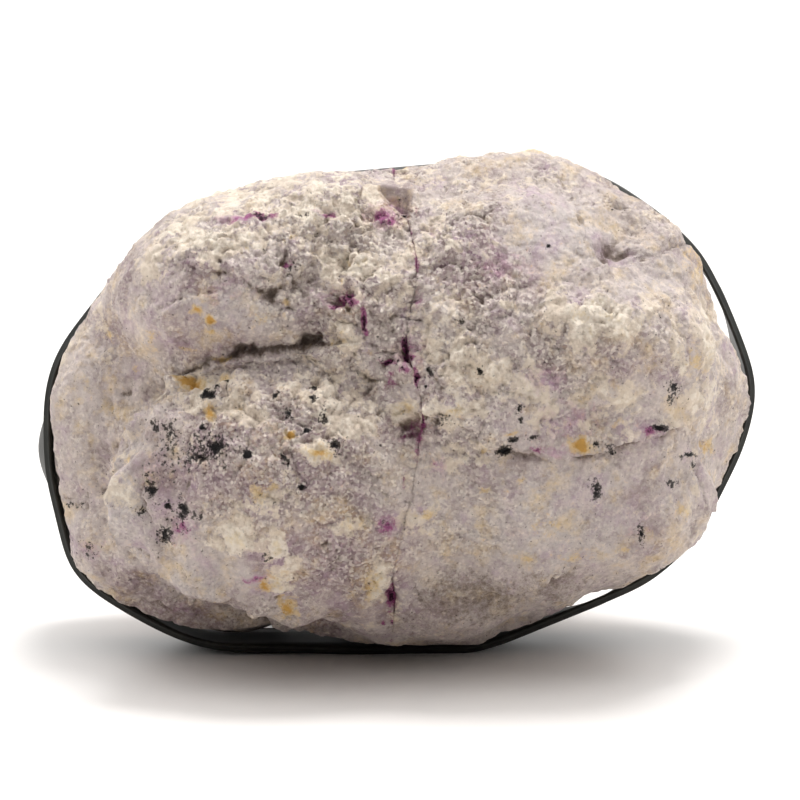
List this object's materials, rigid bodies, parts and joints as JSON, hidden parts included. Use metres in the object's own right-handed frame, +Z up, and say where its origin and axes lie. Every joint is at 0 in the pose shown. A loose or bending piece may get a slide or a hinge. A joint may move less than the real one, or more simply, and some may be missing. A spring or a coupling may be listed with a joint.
{
  "type": "calcite geode",
  "caption": "Lumpy dyed calcite geode broken across its middle into two halves, held shut by a black rubber band.",
  "frame": {"origin": "on the surface that the geode stands on, under the middle of its box", "axes": "+X along the geode's length, to the right of its best face; +Y away from that face; +Z up"},
  "size_m": [0.1022, 0.0774, 0.07],
  "materials": {
    "calcite": "rough",
    "rubber": "satin"
  },
  "bodies": {
    "root": {"left_half": "calcite", "right_half": "calcite", "rubber_band": "rubber"}
  },
  "joints": []
}
